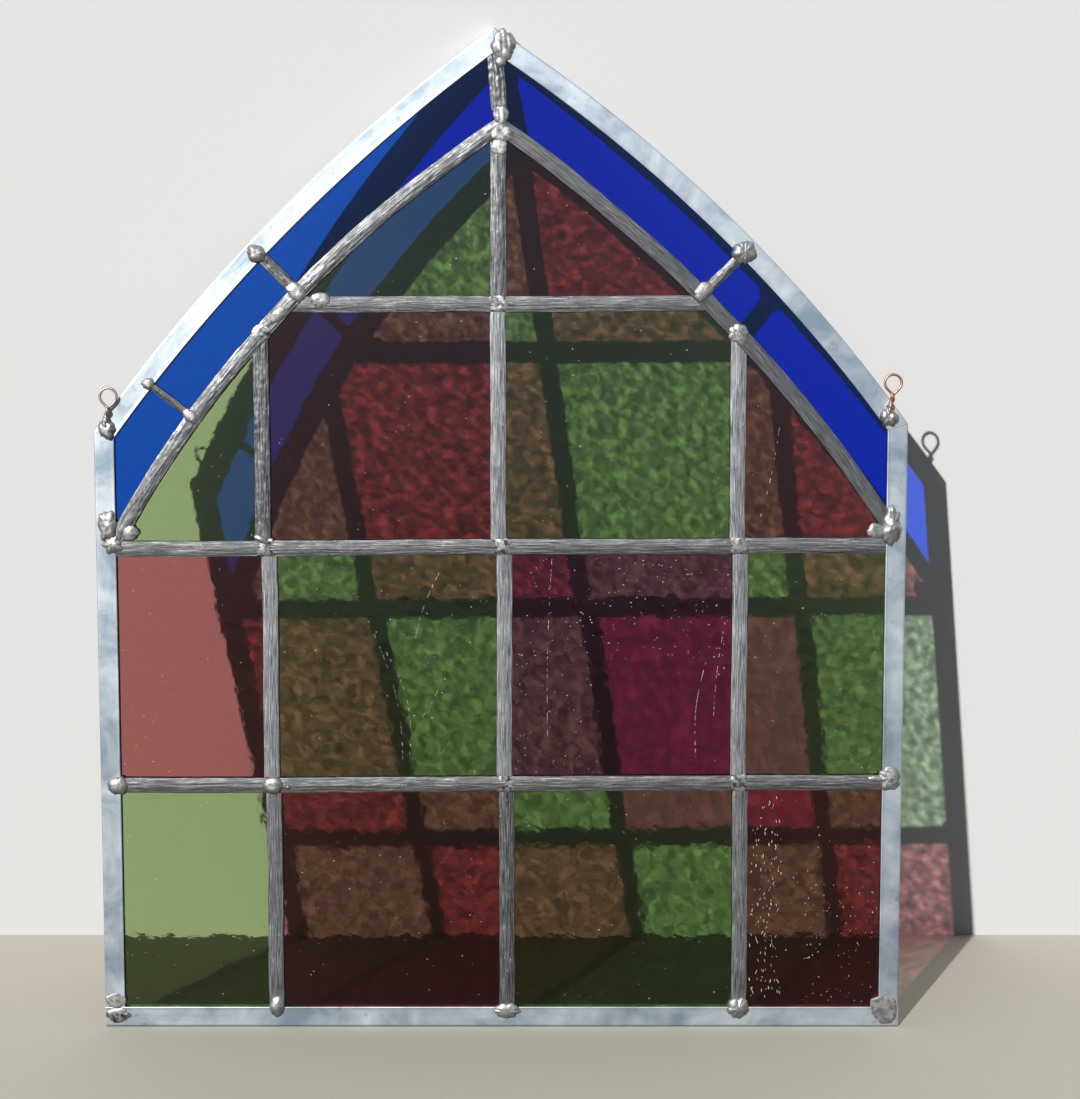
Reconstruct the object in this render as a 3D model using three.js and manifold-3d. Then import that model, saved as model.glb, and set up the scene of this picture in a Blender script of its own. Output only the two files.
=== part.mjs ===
// Leaded glass panel with a pointed-arch top, made to hang by two wire eyes.
// Millimetres, +Z up, the front faces -Y. The panel is drawn from its bottom edge up,
// and one group lowers it so that the origin is midway between the two hanging eyes.
// Plane points are [x, z]. Every outline runs anticlockwise as seen from the front,
// so the outside of the panel is always to the right of the way.
import * as THREE from 'three';
import { mergeVertices } from 'three/addons/utils/BufferGeometryUtils.js';
import Module from 'manifold-3d';

const wasm = await Module();
wasm.setup();

// ---------- driving dimensions ----------
const panelWidth = 382;
const gap = 0.3; // clearance between two pieces that touch

// Outer edge of the zinc frame: two arcs that meet just left of the middle.
const apex = [-3, 472.3];
const shoulderLeft = [-panelWidth / 2, 286.2];
const shoulderRight = [panelWidth / 2, 290.1];
const outerRadiusLeft = 827;
const outerRadiusRight = 733.5;

// Centre lines of the lead arch inside it.
const archTop = [0, 427.5];
const archFootLeft = [-181.4, 235];
const archFootRight = [181.4, 244.6];
const archRadiusLeft = 550;
const archRadiusRight = 695;

const glassThickness = 3;
const slot = glassThickness + 2 * gap; // width of the channel that holds the glass

const zinc = { face: 9.5, wall: 0.8, glassInset: 2.5 };
const lead = { face: 7.4, leaf: 1.1, heart: 1.6, glassInset: 1.4 };

// Cross cames, as their heights at the left and the right frame bar.
const crossHeights = { lower: [117.7, 119.3], middle: [231.1, 232.8], upper: [345.4, 346.3] };

// Upright cames of each row, by their distance from the middle. The rows don't line up.
const uprightPlaces = {
  lower: [-108.5, 2.5, 114],
  middle: [-109.3, 1.6, 112.8],
  upper: [-112.3, -1.2, 111.4],
  peak: [-1],
};

// Short cames across the blue border, from the frame to the lead arch.
const struts = {
  apex: { from: [-2.2, 458], to: [0.2, 428], face: lead.face },
  left_high: { from: [-112.6, 369], to: [-95, 351], face: 5.8 },
  left_low: { from: [-164.6, 308.5], to: [-145, 293.4], face: 3.6 },
  right: { from: [114, 369.6], to: [94.5, 351], face: 5 },
};

// Hanging eyes of twisted wire, soldered to the front of the frame at its shoulders.
const wire = { radius: 0.65, sides: 8, steps: 40, twistRadius: 0.75, turns: 1.5, twistPoints: 10 };
const ring = { radius: 3.9, neckDrop: 4.9, opening: 38, points: 9 }; // the opening is in degrees below level
const eyes = {
  left: {
    centre: [-183.4, 302.8],
    foot: [-185.4, 288],
    solder: { at: [-184.6, 287.2], size: [4.6, 4.8], rise: 2.6 },
  },
  right: {
    centre: [183.4, 309.1],
    foot: [181.8, 294.8],
    solder: { at: [181.4, 293], size: [5, 5.2], rise: 2.6 },
  },
};
const hangHeight = (eyes.left.centre[1] + eyes.right.centre[1]) / 2 + ring.radius - wire.radius;

const archSteps = 18;
const discSides = 180;
const domeSides = 8;
const reach = 600; // longer than any cut
const depth = 20; // thicker than the panel

// ---------- finishes ----------
function metal(colour, roughness) {
  return new THREE.MeshStandardMaterial({ color: colour, roughness, metalness: 0.9 });
}

function stainedGlass(colour) {
  return new THREE.MeshStandardMaterial({ color: colour, roughness: 0.08, transparent: true, opacity: 0.7 });
}

const finishes = {
  zinc: () => metal('#b7c6d1', 0.35),
  lead: () => metal('#858486', 0.5),
  wire: () => metal('#a98573', 0.35),
  red: () => stainedGlass('#a8323a'),
  green: () => stainedGlass('#6f9c4a'),
  magenta: () => stainedGlass('#8c1f55'),
  blue: () => stainedGlass('#1230b8'),
};

// ---------- plane geometry ----------
function unit(from, to) {
  const length = Math.hypot(to[0] - from[0], to[1] - from[1]);
  return [(to[0] - from[0]) / length, (to[1] - from[1]) / length];
}

// A point so far along the way from one point to another, and so far to its left.
function pointAlong(from, to, along, left = 0) {
  const way = unit(from, to);
  return [from[0] + way[0] * along - way[1] * left, from[1] + way[1] * along + way[0] * left];
}

// A line moved sideways to its left.
function shifted([from, to], distance) {
  const length = Math.hypot(to[0] - from[0], to[1] - from[1]);
  return [pointAlong(from, to, 0, distance), pointAlong(from, to, length, distance)];
}

function crossingOf(first, second) {
  const a = unit(...first);
  const b = unit(...second);
  const dx = second[0][0] - first[0][0];
  const dz = second[0][1] - first[0][1];
  const along = (dx * b[1] - dz * b[0]) / (a[0] * b[1] - a[1] * b[0]);
  return pointAlong(first[0], first[1], along);
}

// The arc of a radius from one point to another, with its centre to the left of the way.
function arcThrough(from, to, radius) {
  const half = Math.hypot(to[0] - from[0], to[1] - from[1]) / 2;
  const centre = pointAlong(from, to, half, Math.sqrt(radius * radius - half * half));
  return { centre, radius, from, to };
}

// The height of an arc's upper side at a distance from the middle.
function heightOn(arc, x, inset = 0) {
  const radius = arc.radius - inset;
  return arc.centre[1] + Math.sqrt(radius * radius - (x - arc.centre[0]) ** 2);
}

// An arc as a curve in the panel's plane, run on a little past both ends for the mitres.
class FlatArc extends THREE.Curve {
  constructor({ centre, radius, from, to }, inset = 0, overrun = 0.03) {
    super();
    const angleOf = (p) => Math.atan2(p[1] - centre[1], p[0] - centre[0]);
    const span = angleOf(to) - angleOf(from);
    this.centre = centre;
    this.radius = radius - inset;
    this.start = angleOf(from) - span * overrun;
    this.span = span * (1 + 2 * overrun);
  }

  getPoint(t) {
    const angle = this.start + this.span * t;
    const x = this.centre[0] + this.radius * Math.cos(angle);
    const z = this.centre[1] + this.radius * Math.sin(angle);
    return new THREE.Vector3(x, 0, z);
  }
}

const outerArcs = {
  left: arcThrough(apex, shoulderLeft, outerRadiusLeft),
  right: arcThrough(shoulderRight, apex, outerRadiusRight),
};
const leadArcs = {
  left: arcThrough(archTop, archFootLeft, archRadiusLeft),
  right: arcThrough(archFootRight, archTop, archRadiusRight),
};

const frameInside = panelWidth / 2 - zinc.face;
const zincFront = slot / 2 + zinc.wall;
const leadFront = slot / 2 + lead.leaf;
const leadHalf = lead.face / 2;

// Lines that cames lie on and that pieces are cut to.
const crossLines = Object.fromEntries(
  Object.entries(crossHeights).map(([name, [left, right]]) => [name, [[-frameInside, left], [frameInside, right]]]),
);
const leftEdge = [[-panelWidth / 2, reach], [-panelWidth / 2, 0]];
const rightEdge = [[panelWidth / 2, 0], [panelWidth / 2, reach]];
const bottomEdge = [[-panelWidth / 2, 0], [panelWidth / 2, 0]];
const aboveAll = [[panelWidth, reach], [-panelWidth, reach]];

function uprightLine(x) {
  return [[x, 0], [x, reach]];
}

function backwards([from, to]) {
  return [to, from];
}

function heightAt([from, to], x) {
  return from[1] + ((to[1] - from[1]) * (x - from[0])) / (to[0] - from[0]);
}

// ---------- sections: x is towards the front or the back, +y is the outside of the frame ----------
function outline(points) {
  return new THREE.Shape(points.map(([x, y]) => new THREE.Vector2(x, y)));
}

// U-section: an outer wall and two leaves, with the edges rolled in a little.
function zincSection() {
  const half = zinc.face / 2;
  const inner = slot / 2;
  const bend = 0.4;
  const lip = 0.85;
  const leaf = [
    [inner, half - zinc.wall],
    [inner, -half],
    [zincFront - bend, -half],
    [zincFront, lip - half],
    [zincFront, half - bend],
    [zincFront - bend, half],
  ];
  const otherLeaf = leaf.map(([x, y]) => [-x, y]).reverse();
  return outline([...leaf, ...otherLeaf]);
}

// H-section: two crowned leaves joined by the heart.
function leadSection(face) {
  const half = face / 2;
  const inner = slot / 2;
  const crown = [
    [leadFront - 0.45, -half],
    [leadFront - 0.1, -0.6 * half],
    [leadFront, 0],
    [leadFront - 0.1, 0.6 * half],
    [leadFront - 0.45, half],
  ];
  const channel = [
    [inner, half],
    [inner, lead.heart / 2],
    [-inner, lead.heart / 2],
    [-inner, half],
  ];
  const opposite = ([x, y]) => [-x, -y];
  return outline([...crown, ...channel, ...crown.map(opposite), ...channel.map(opposite)]);
}

// ---------- solids ----------
// A closed geometry as a solid: its vertices are welded and its empty triangles dropped.
function solid(geometry) {
  geometry.deleteAttribute('normal');
  geometry.deleteAttribute('uv');
  const welded = mergeVertices(geometry, 1e-4);
  const corners = welded.index.array;
  const triangles = [];
  for (let i = 0; i < corners.length; i += 3) {
    const [a, b, c] = corners.slice(i, i + 3);
    if (a !== b && b !== c && c !== a) triangles.push(a, b, c);
  }
  const vertProperties = new Float32Array(welded.attributes.position.array);
  return new wasm.Manifold(new wasm.Mesh({ numProp: 3, vertProperties, triVerts: new Uint32Array(triangles) }));
}

function cut(body, ...cutters) {
  return cutters.reduce((rest, cutter) => rest.subtract(cutter), body);
}

function keep(body, ...regions) {
  return regions.reduce((rest, region) => rest.intersect(region), body);
}

// A straight length of a section, run on past both ends where it is cut to fit later.
function bar(section, from, to, overrun = 0) {
  const length = Math.hypot(to[0] - from[0], to[1] - from[1]) + 2 * overrun;
  const start = pointAlong(from, to, -overrun);
  const way = unit(from, to);
  const frontwards = new THREE.Vector3(0, -1, 0);
  const outwards = new THREE.Vector3(way[1], 0, -way[0]);
  const along = new THREE.Vector3(way[0], 0, way[1]);
  const place = new THREE.Matrix4().makeBasis(frontwards, outwards, along).setPosition(start[0], 0, start[1]);
  return solid(new THREE.ExtrudeGeometry(section, { depth: length, bevelEnabled: false }).applyMatrix4(place));
}

function bentBar(section, extrudePath) {
  return solid(new THREE.ExtrudeGeometry(section, { steps: archSteps, extrudePath }));
}

// A pane between four lines that run round it, each moved inwards by its own inset.
function pane(edges, insets) {
  const sides = edges.map((edge, i) => shifted(edge, insets[i]));
  const corners = sides.map((side, i) => crossingOf(side, sides[(i + 1) % sides.length]));
  const blank = new THREE.ExtrudeGeometry(outline(corners), { depth: glassThickness, bevelEnabled: false });
  blank.rotateX(Math.PI / 2);
  blank.translate(0, glassThickness / 2, 0);
  return solid(blank);
}

// ---------- cutters ----------
function disc(arc, outset) {
  const radius = arc.radius + outset;
  const blank = new THREE.CylinderGeometry(radius, radius, depth, discSides);
  return solid(blank.translate(arc.centre[0], 0, arc.centre[1]));
}

function insideFrame(inset) {
  return disc(outerArcs.left, -inset).intersect(disc(outerArcs.right, -inset));
}

// Inside the lead arch's centre line, or a little beyond it where outset is positive.
function insideArch(outset) {
  return disc(leadArcs.left, outset).intersect(disc(leadArcs.right, outset));
}

// Everything to the left of a line, and a margin beyond it.
function leftOf([from, to], margin = 0) {
  const way = unit(from, to);
  const corner = pointAlong(from, to, 0, -margin);
  const blank = new THREE.BoxGeometry(4 * reach, depth, 2 * reach);
  blank.translate(0, 0, reach);
  blank.rotateY(-Math.atan2(way[1], way[0]));
  return solid(blank.translate(corner[0], 0, corner[1]));
}

function rightOf(line, margin = 0) {
  return leftOf(backwards(line), margin);
}

// ---------- solder ----------
// A low dome on the back of a plane, this far behind the middle of the panel.
function dome({ at, size, rise }, base) {
  const profile = [
    [0, 0],
    [1, 0],
    [0.9, 0.45],
    [0.55, 0.88],
    [0, 1],
  ];
  const edge = profile.map(([radius, height]) => new THREE.Vector2(radius, height * rise));
  const blank = new THREE.LatheGeometry(edge, domeSides);
  blank.scale(size[0], 1, size[1]);
  return solid(blank.translate(at[0], base, at[1]));
}

// A lump over a joint: a dome that clears the faces it laps over, on a footing
// that joins it to the one piece that it is made part of.
function lump(shape, face) {
  const bite = 0.5; // how far the footing goes into the piece
  const lap = 0.2; // and into the dome
  const [x, z] = shape.root ?? shape.at;
  const footing = new THREE.BoxGeometry(2.6, bite + gap + lap, 2.6);
  footing.translate(x, face + (gap + lap - bite) / 2, z);
  return dome(shape, face + gap).add(solid(footing));
}

function toFront(body) {
  return body.mirror([0, 1, 0]);
}

// A piece with the same lumps on its back and its front.
function soldered(body, lumps, face) {
  return lumps.map((shape) => lump(shape, face)).reduce((rest, one) => rest.add(one).add(toFront(one)), body);
}

function onLead(line, x, size, rise) {
  return { at: [x, heightAt(line, x)], size, rise };
}

function onArch(arc, x, size, rise) {
  return { at: [x, heightOn(arc, x)], size, rise };
}

const frameSolder = {
  bottom: [
    { at: [-185.2, 8], root: [-186, 5.5], size: [5.6, 6.4], rise: 0.8 },
    { at: [uprightPlaces.lower[0], 10.4], root: [uprightPlaces.lower[0], 7.6], size: [3.6, 5.2], rise: 1.9 },
    { at: [uprightPlaces.lower[1], 7.3], root: [uprightPlaces.lower[1], 6.3], size: [6, 3.8], rise: 1.4 },
    { at: [uprightPlaces.lower[2], 9.4], root: [uprightPlaces.lower[2], 7.4], size: [5, 5.4], rise: 1.8 },
    { at: [183.6, 8], root: [184.5, 5.5], size: [7, 7], rise: 0.7 },
  ],
  left: [
    { at: [-182.8, 117.8], root: [-185.8, 117.8], size: [4.9, 4.4], rise: 1.8 },
    { at: [-185.3, 239.5], root: [-186, 240], size: [4.6, 10.5], rise: 1.6 },
  ],
  right: [
    { at: [184.8, 120.8], root: [186, 120.8], size: [5.8, 6.4], rise: 1.4 },
    { at: [183.6, 241.5], root: [185.6, 241.5], size: [4.4, 9.5], rise: 1.8 },
  ],
  arch_left: [
    { at: [-112.7, 368.5], root: [-114.2, 369.9], size: [4.6, 4.2], rise: 2.1 },
    { at: [-164.9, 308.7], root: [-166, 309.6], size: [3.2, 2.9], rise: 1.2 },
  ],
  arch_right: [
    { at: [0.5, 461.4], root: [1.2, 463], size: [5.4, 6.8], rise: 1.6 },
    { at: [113.4, 369.4], root: [115, 371], size: [5.2, 5.6], rise: 2 },
  ],
};

const leadSolder = {
  lower: [
    onLead(crossLines.lower, -108.9, [4.6, 4.3], 1.7),
    onLead(crossLines.lower, 2, [5, 4.1], 0.8),
    onLead(crossLines.lower, 113.4, [5, 4.1], 0.7),
  ],
  middle: [
    onLead(crossLines.middle, -110.8, [5.8, 4.4], 1),
    onLead(crossLines.middle, 0.2, [5.4, 4.2], 0.8),
    onLead(crossLines.middle, 112.1, [5.4, 4.2], 0.7),
  ],
  upper: [onLead(crossLines.upper, -1.1, [5, 4.2], 0.8)],
  archLeft: [onArch(leadArcs.left, -95.5, [4.8, 4.8], 1), onArch(leadArcs.left, -111.5, [4.8, 4.8], 1)],
  archRight: [
    onArch(leadArcs.right, 4, [4.6, 4.2], 0.9),
    onArch(leadArcs.right, 96, [4.8, 4.8], 1),
    onArch(leadArcs.right, 111, [4.6, 4.8], 0.9),
  ],
};

// ---------- zinc frame ----------
// The cut across a shoulder, from the outer corner to the corner inside the frame.
function shoulderMitre(corner, arc) {
  const x = Math.sign(corner[0]) * frameInside;
  return [corner, [x, heightOn(arc, x, zinc.face)]];
}

function zincFrame() {
  const section = zincSection();
  const mid = zinc.face / 2;
  const x = panelWidth / 2 - mid;
  const foot = zinc.face + gap;
  const half = gap / 2;
  const apexMitre = uprightLine(apex[0]);
  const leftMitre = shoulderMitre(shoulderLeft, outerArcs.left);
  const rightMitre = shoulderMitre(shoulderRight, outerArcs.right);
  const bentLeft = bentBar(section, new FlatArc(outerArcs.left, mid));
  const bentRight = bentBar(section, new FlatArc(outerArcs.right, mid));
  const bars = {
    bottom: bar(section, [-panelWidth / 2, mid], [panelWidth / 2, mid]),
    left: cut(bar(section, [-x, shoulderLeft[1] + mid], [-x, foot]), leftOf(leftMitre, half)),
    right: cut(bar(section, [x, foot], [x, shoulderRight[1] + mid]), rightOf(rightMitre, half)),
    arch_left: cut(bentLeft, rightOf(leftMitre, half), rightOf(apexMitre, half)),
    arch_right: cut(bentRight, leftOf(rightMitre, half), leftOf(apexMitre, half)),
  };
  return Object.entries(bars).map(([side, body]) => [`frame_${side}`, soldered(body, frameSolder[side], zincFront)]);
}

// ---------- lead cames ----------
function crossCames() {
  const section = leadSection(lead.face);
  return Object.entries(crossLines).map(([name, line]) => {
    const inset = line.map(([x, z]) => [x - Math.sign(x) * gap, z]);
    const whole = bar(section, ...inset);
    const body = name === 'upper' ? keep(whole, insideArch(-leadHalf - gap)) : whole;
    return [`came_cross_${name}`, soldered(body, leadSolder[name], leadFront)];
  });
}

// Each upright stands between the came below it and the came or arch above it.
function uprightCames() {
  const section = leadSection(lead.face);
  const clear = leadHalf + gap;
  const under = insideArch(-clear);
  const floors = { lower: null, middle: crossLines.lower, upper: crossLines.middle, peak: crossLines.upper };
  const ceilings = { lower: crossLines.lower, middle: crossLines.middle, upper: crossLines.upper };
  return Object.entries(uprightPlaces).flatMap(([row, places]) =>
    places.map((x, i) => {
      const low = floors[row] ? heightAt(floors[row], x) + clear : zinc.face + gap;
      const meetsArch = row === 'peak' || (row === 'upper' && i !== 1);
      const high = meetsArch ? archTop[1] : heightAt(ceilings[row], x) - clear;
      const body = bar(section, [x, low], [x, high]);
      const name = places.length > 1 ? `came_upright_${row}_${i + 1}` : `came_upright_${row}`;
      return [name, meetsArch ? keep(body, under) : body];
    }),
  );
}

function archCames() {
  const section = leadSection(lead.face);
  const middle = uprightLine(archTop[0]);
  const belowCross = rightOf(crossLines.middle, leadHalf + gap);
  const clearLeft = leftOf(uprightLine(-frameInside), gap);
  const clearRight = rightOf(uprightLine(frameInside), gap);
  const left = cut(bentBar(section, new FlatArc(leadArcs.left)), rightOf(middle, gap / 2), clearLeft, belowCross);
  const right = cut(bentBar(section, new FlatArc(leadArcs.right)), leftOf(middle, gap / 2), clearRight, belowCross);
  return [
    ['came_arch_left', soldered(left, leadSolder.archLeft, leadFront)],
    ['came_arch_right', soldered(right, leadSolder.archRight, leadFront)],
  ];
}

function strutCames() {
  const within = insideFrame(zinc.face + gap);
  const archBand = insideArch(leadHalf + gap);
  return Object.entries(struts).map(([name, { from, to, face }]) => {
    const body = bar(leadSection(face), from, to, 6);
    return [`came_strut_${name}`, cut(keep(body, within), archBand)];
  });
}

// ---------- glass ----------
const paneColours = {
  lower: ['green', 'red', 'green', 'red'],
  middle: ['red', 'green', 'magenta', 'green'],
  upper: ['green', 'red', 'green', 'red'],
  peak: ['green', 'red'],
};

function colouredPanes() {
  const zincInset = zinc.glassInset;
  const leadInset = lead.glassInset;
  const under = insideArch(-leadInset);
  const rows = {
    lower: { floor: bottomEdge, ceiling: crossLines.lower, floorInset: zincInset },
    middle: { floor: crossLines.lower, ceiling: crossLines.middle, floorInset: leadInset },
    upper: { floor: crossLines.middle, ceiling: crossLines.upper, floorInset: leadInset },
    peak: { floor: crossLines.upper, ceiling: backwards(aboveAll), floorInset: leadInset },
  };
  return Object.entries(rows).flatMap(([row, { floor, ceiling, floorInset }]) => {
    const walls = [backwards(leftEdge), ...uprightPlaces[row].map(uprightLine), rightEdge];
    return paneColours[row].map((colour, i) => {
      const leftInset = i === 0 ? zincInset : leadInset;
      const rightInset = i === walls.length - 2 ? zincInset : leadInset;
      const outerCorner = row === 'upper' && (i === 0 || i === 3);
      const top = outerCorner ? aboveAll : backwards(ceiling);
      const edges = [floor, walls[i + 1], top, backwards(walls[i])];
      const blank = pane(edges, [floorInset, rightInset, leadInset, leftInset]);
      const body = row === 'lower' || row === 'middle' ? blank : keep(blank, under);
      return [`glass_${row}_${i + 1}_${colour}`, body, colour];
    });
  });
}

// The blue border lies between the frame and the lead arch, and the struts part it.
function borderPanes() {
  const inset = lead.glassInset;
  const line = ({ from, to }) => [from, to];
  const top = line(struts.apex);
  const high = line(struts.left_high);
  const low = line(struts.left_low);
  const right = line(struts.right);
  const footGap = 4; // the border's tips stop short of the arch's feet
  const belowLeft = rightOf([[-reach, archFootLeft[1]], [reach, archFootLeft[1]]], footGap);
  const belowRight = rightOf([[-reach, archFootRight[1]], [reach, archFootRight[1]]], footGap);
  const sides = [rightOf(rightEdge, zinc.glassInset), rightOf(leftEdge, zinc.glassInset)];
  const sheet = pane([bottomEdge, rightEdge, aboveAll, leftEdge], [0, 0, 0, 0]);
  const border = cut(keep(sheet, insideFrame(zinc.glassInset)), insideArch(inset), ...sides);
  return [
    ['left_top', cut(border, leftOf(top, inset), rightOf(high, inset))],
    ['left_middle', cut(border, leftOf(high, inset), rightOf(low, inset))],
    ['left_low', cut(border, leftOf(low, inset), belowLeft)],
    ['right_top', cut(border, rightOf(top, inset), leftOf(right, inset))],
    ['right_low', cut(border, rightOf(right, inset), belowRight)],
  ].map(([name, body]) => [`glass_border_${name}_blue`, body, 'blue']);
}

// ---------- hanging eyes ----------
// One wire: up the twist, round the ring and down the twist again.
function wireEye({ centre, foot, solder }) {
  const y = -(zincFront + gap + wire.twistRadius + wire.radius);
  const neck = [centre[0], centre[1] - ring.neckDrop];
  const strand = (side) =>
    Array.from({ length: wire.twistPoints }, (_, i) => {
      const t = i / (wire.twistPoints - 1);
      const angle = 2 * Math.PI * wire.turns * t;
      const x = neck[0] + (foot[0] - neck[0]) * t + side * wire.twistRadius * Math.cos(angle);
      const z = neck[1] + (foot[1] - neck[1]) * t;
      return new THREE.Vector3(x, y + side * wire.twistRadius * Math.sin(angle), z);
    });
  const round = Array.from({ length: ring.points }, (_, i) => {
    const degrees = -ring.opening + ((180 + 2 * ring.opening) * i) / (ring.points - 1);
    const angle = THREE.MathUtils.degToRad(degrees);
    const x = centre[0] + ring.radius * Math.cos(angle);
    return new THREE.Vector3(x, y, centre[1] + ring.radius * Math.sin(angle));
  });
  const extrudePath = new THREE.CatmullRomCurve3([...strand(1).reverse(), ...round, ...strand(-1)]);
  const edge = new THREE.EllipseCurve(0, 0, wire.radius, wire.radius).getPoints(wire.sides).slice(0, -1);
  const wound = solid(new THREE.ExtrudeGeometry(new THREE.Shape(edge), { steps: wire.steps, extrudePath }));
  return wound.add(toFront(dome(solder, zincFront + gap)));
}

// ---------- assembly ----------
function toMesh([name, body], material) {
  const { vertProperties, triVerts } = body.getMesh();
  const welded = new THREE.BufferGeometry();
  welded.setAttribute('position', new THREE.BufferAttribute(vertProperties, 3));
  welded.setIndex(new THREE.BufferAttribute(triVerts, 1));
  const geometry = welded.toNonIndexed();
  geometry.computeVertexNormals();
  const mesh = new THREE.Mesh(geometry, material);
  mesh.name = name;
  return mesh;
}

const panel = new THREE.Group();
panel.position.z = -hangHeight;
for (const piece of zincFrame()) panel.add(toMesh(piece, finishes.zinc()));
for (const piece of [...crossCames(), ...uprightCames(), ...archCames(), ...strutCames()]) {
  panel.add(toMesh(piece, finishes.lead()));
}
for (const piece of [...colouredPanes(), ...borderPanes()]) {
  panel.add(toMesh(piece, finishes[piece[2]]()));
}
for (const [side, eye] of Object.entries(eyes)) {
  panel.add(toMesh([`hanging_eye_${side}`, wireEye(eye)], finishes.wire()));
}

const hanging = new THREE.Group();
hanging.add(panel);
export default hanging;
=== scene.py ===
# A leaded glass panel with a pointed arch top. Coloured hammered panes and a smooth blue border
# sit in lead cames, inside a zinc channel frame with two hanging eyes of twisted wire.
# Lengths are millimetres on the panel's own plane: x from the middle, z up from the bottom edge,
# and y from the middle of the thickness, with the front at -y. toFrame turns them into metres.
import math
import bpy
import numpy as np
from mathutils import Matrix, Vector


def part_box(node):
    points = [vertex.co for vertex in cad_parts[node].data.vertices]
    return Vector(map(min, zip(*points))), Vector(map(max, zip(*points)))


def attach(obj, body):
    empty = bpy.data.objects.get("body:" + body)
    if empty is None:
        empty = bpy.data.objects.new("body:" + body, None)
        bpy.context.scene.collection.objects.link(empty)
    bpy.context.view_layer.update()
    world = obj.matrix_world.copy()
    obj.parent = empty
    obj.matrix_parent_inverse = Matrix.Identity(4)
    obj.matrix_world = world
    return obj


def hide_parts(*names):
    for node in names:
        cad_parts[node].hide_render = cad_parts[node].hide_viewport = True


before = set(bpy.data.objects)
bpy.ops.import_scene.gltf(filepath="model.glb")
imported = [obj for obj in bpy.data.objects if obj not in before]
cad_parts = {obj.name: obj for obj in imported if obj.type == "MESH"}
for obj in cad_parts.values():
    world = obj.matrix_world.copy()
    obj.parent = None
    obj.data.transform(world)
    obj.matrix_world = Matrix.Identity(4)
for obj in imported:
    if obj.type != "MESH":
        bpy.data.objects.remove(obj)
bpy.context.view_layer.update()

panel = {
    "width": 382.0,
    "bottomHeight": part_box("frame_bottom")[0].z * 1000,  # where the bottom edge is, from the hang line
    "joint": 0.12,       # the gap between two pieces that meet
    "zincFace": 9.5,
    "zincFront": 2.6,
    "leadFace": 7.4,
    "leadFront": 2.9,
    "slot": 1.8,         # half the width of the channel for the glass
}
outer = {
    "apex": (-3, 472.3), "left": (-191, 286.2), "right": (191, 290.1),
    "radiusLeft": 827, "radiusRight": 733.5,
}
arch = {
    "top": (0, 427.5), "left": (-181.4, 235), "right": (181.4, 244.6), "radiusLeft": 550, "radiusRight": 695,
}
crossHeights = {"lower": (117.7, 119.3), "middle": (231.1, 232.8), "upper": (345.4, 346.3)}
uprightPlaces = {
    "lower": (-108.5, 2.5, 114),
    "middle": (-109.3, 1.6, 112.8),
    "upper": (-112.3, -1.2, 111.4),
    "peak": (-1,),
}
frameInside = panel["width"] / 2 - panel["zincFace"]


# Random numbers at whole x and y, from -1 to 1, eased between neighbours with 3t^2 - 2t^3.
def latticeNoise(x, y, seed):
    x, y = np.broadcast_arrays(np.asarray(x, float), np.asarray(y, float))
    cellX, cellY = np.floor(x).astype(np.int64), np.floor(y).astype(np.int64)
    partX, partY = x - cellX, y - cellY
    easeX, easeY = partX * partX * (3 - 2 * partX), partY * partY * (3 - 2 * partY)

    def corner(stepX, stepY):
        mixed = ((cellX + stepX) * 374761393 + (cellY + stepY) * 668265263 + seed * 974711) & 0xFFFFFFFF
        mixed = ((mixed ^ (mixed >> 13)) * 1274126177) & 0xFFFFFFFF
        return ((mixed ^ (mixed >> 16)) & 0xFFFF) / 32767.5 - 1

    low = corner(0, 0) * (1 - easeX) + corner(1, 0) * easeX
    high = corner(0, 1) * (1 - easeX) + corner(1, 1) * easeX
    return low * (1 - easeY) + high * easeY


# Several layers of it, each half as strong and twice as fine as the one before.
def layeredNoise(x, y, seed, layers=3):
    total = sum(latticeNoise(x * 2 ** k, y * 2 ** k, seed + 17 * k) / 2 ** k for k in range(layers))
    return total / (2 - 0.5 ** (layers - 1))


# The unit vector from one point to another: (end - start) / |end - start|.
def wayOf(start, end):
    apart = np.array(end, float) - start
    return apart / np.linalg.norm(apart)


# The centre of the arc of this radius from one point to another, to the left of the way:
# the middle of the chord + n sqrt(r^2 - half^2), with n square to the chord.
def arcCentre(start, end, radius):
    way = wayOf(start, end)
    middle = (np.array(start, float) + end) / 2
    half = np.linalg.norm(np.subtract(end, start)) / 2
    return middle + np.array([-way[1], way[0]]) * math.sqrt(radius ** 2 - half ** 2)


zincArcs = {
    "left": (arcCentre(outer["apex"], outer["left"], outer["radiusLeft"]), outer["radiusLeft"]),
    "right": (arcCentre(outer["right"], outer["apex"], outer["radiusRight"]), outer["radiusRight"]),
}
leadArcs = {
    "left": (arcCentre(arch["top"], arch["left"], arch["radiusLeft"]), arch["radiusLeft"]),
    "right": (arcCentre(arch["right"], arch["top"], arch["radiusRight"]), arch["radiusRight"]),
}


# The height of an arc's upper side at x: z = cz + sqrt(r^2 - (x - cx)^2).
def arcHeight(arc, x, inset=0):
    centre, radius = arc
    return centre[1] + np.sqrt(np.maximum((radius - inset) ** 2 - (x - centre[0]) ** 2, 0))


# The height of the pointed lead arch at x: the lower of its two arcs.
def archHeight(x, inset=0):
    return np.minimum(arcHeight(leadArcs["left"], x, inset), arcHeight(leadArcs["right"], x, inset))


# The height of a cross came at x, on the line between its two ends.
def crossHeight(name, x):
    left, right = crossHeights[name]
    return left + (right - left) * (x + frameInside) / (2 * frameInside)


# How far along a line it reaches a circle: the larger root of |p + t w - c| = r.
def reachOf(point, way, centre, radius):
    across = point - centre
    along = across @ way
    return -along + np.sqrt(along ** 2 - (across ** 2).sum(-1) + radius ** 2)


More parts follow.
